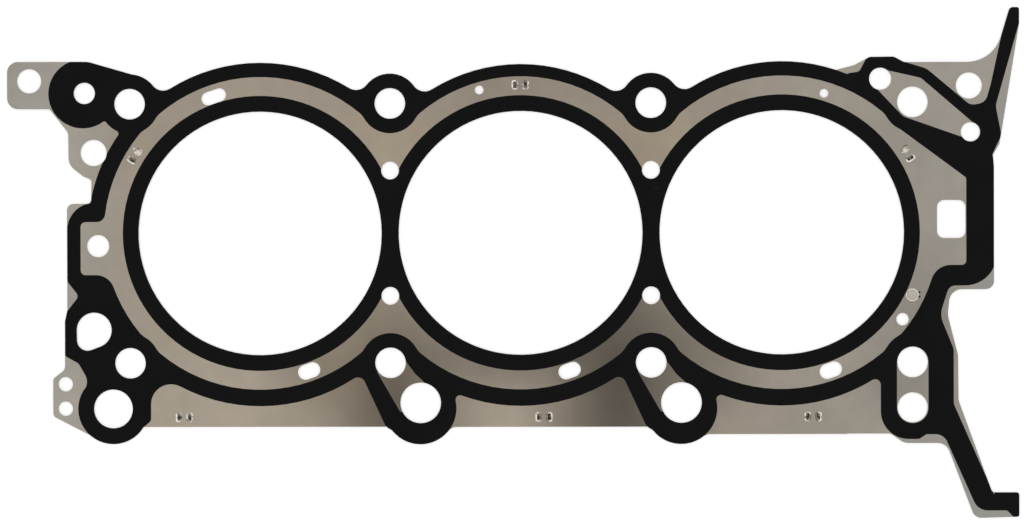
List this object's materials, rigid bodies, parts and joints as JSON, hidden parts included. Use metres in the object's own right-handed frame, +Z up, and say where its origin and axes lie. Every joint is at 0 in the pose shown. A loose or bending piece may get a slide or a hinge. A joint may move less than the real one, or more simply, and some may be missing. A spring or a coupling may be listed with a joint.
{
  "type": "cylinder head gasket",
  "caption": "Flat multi-layer steel head gasket for one bank of three bores, with beaded steel sheets, a printed black elastomer seal, and holes for bolts, coolant and oil.",
  "frame": {"origin": "on the axis of the middle bore, in the plane of the lower steel face", "axes": "+X along the row of bores towards the timing end, +Y across the bank towards the side with the dowel tab, +Z up, from the block to the head"},
  "size_m": [0.4033, 0.2031, 0.0015],
  "materials": {
    "spring_steel": "satin",
    "spacer_steel": "satin",
    "stopper_steel": "satin",
    "seal_print": "satin"
  },
  "bodies": {
    "root": {"lower_bead_layer": "spring_steel", "distance_layer": "spacer_steel", "upper_bead_layer": "spring_steel", "bore_1_stopper_ring": "stopper_steel", "bore_2_stopper_ring": "stopper_steel", "bore_3_stopper_ring": "stopper_steel", "lower_bore_seal_print": "seal_print", "lower_rim_seal_print": "seal_print", "upper_bore_seal_print": "seal_print", "upper_rim_seal_print": "seal_print"}
  },
  "joints": []
}
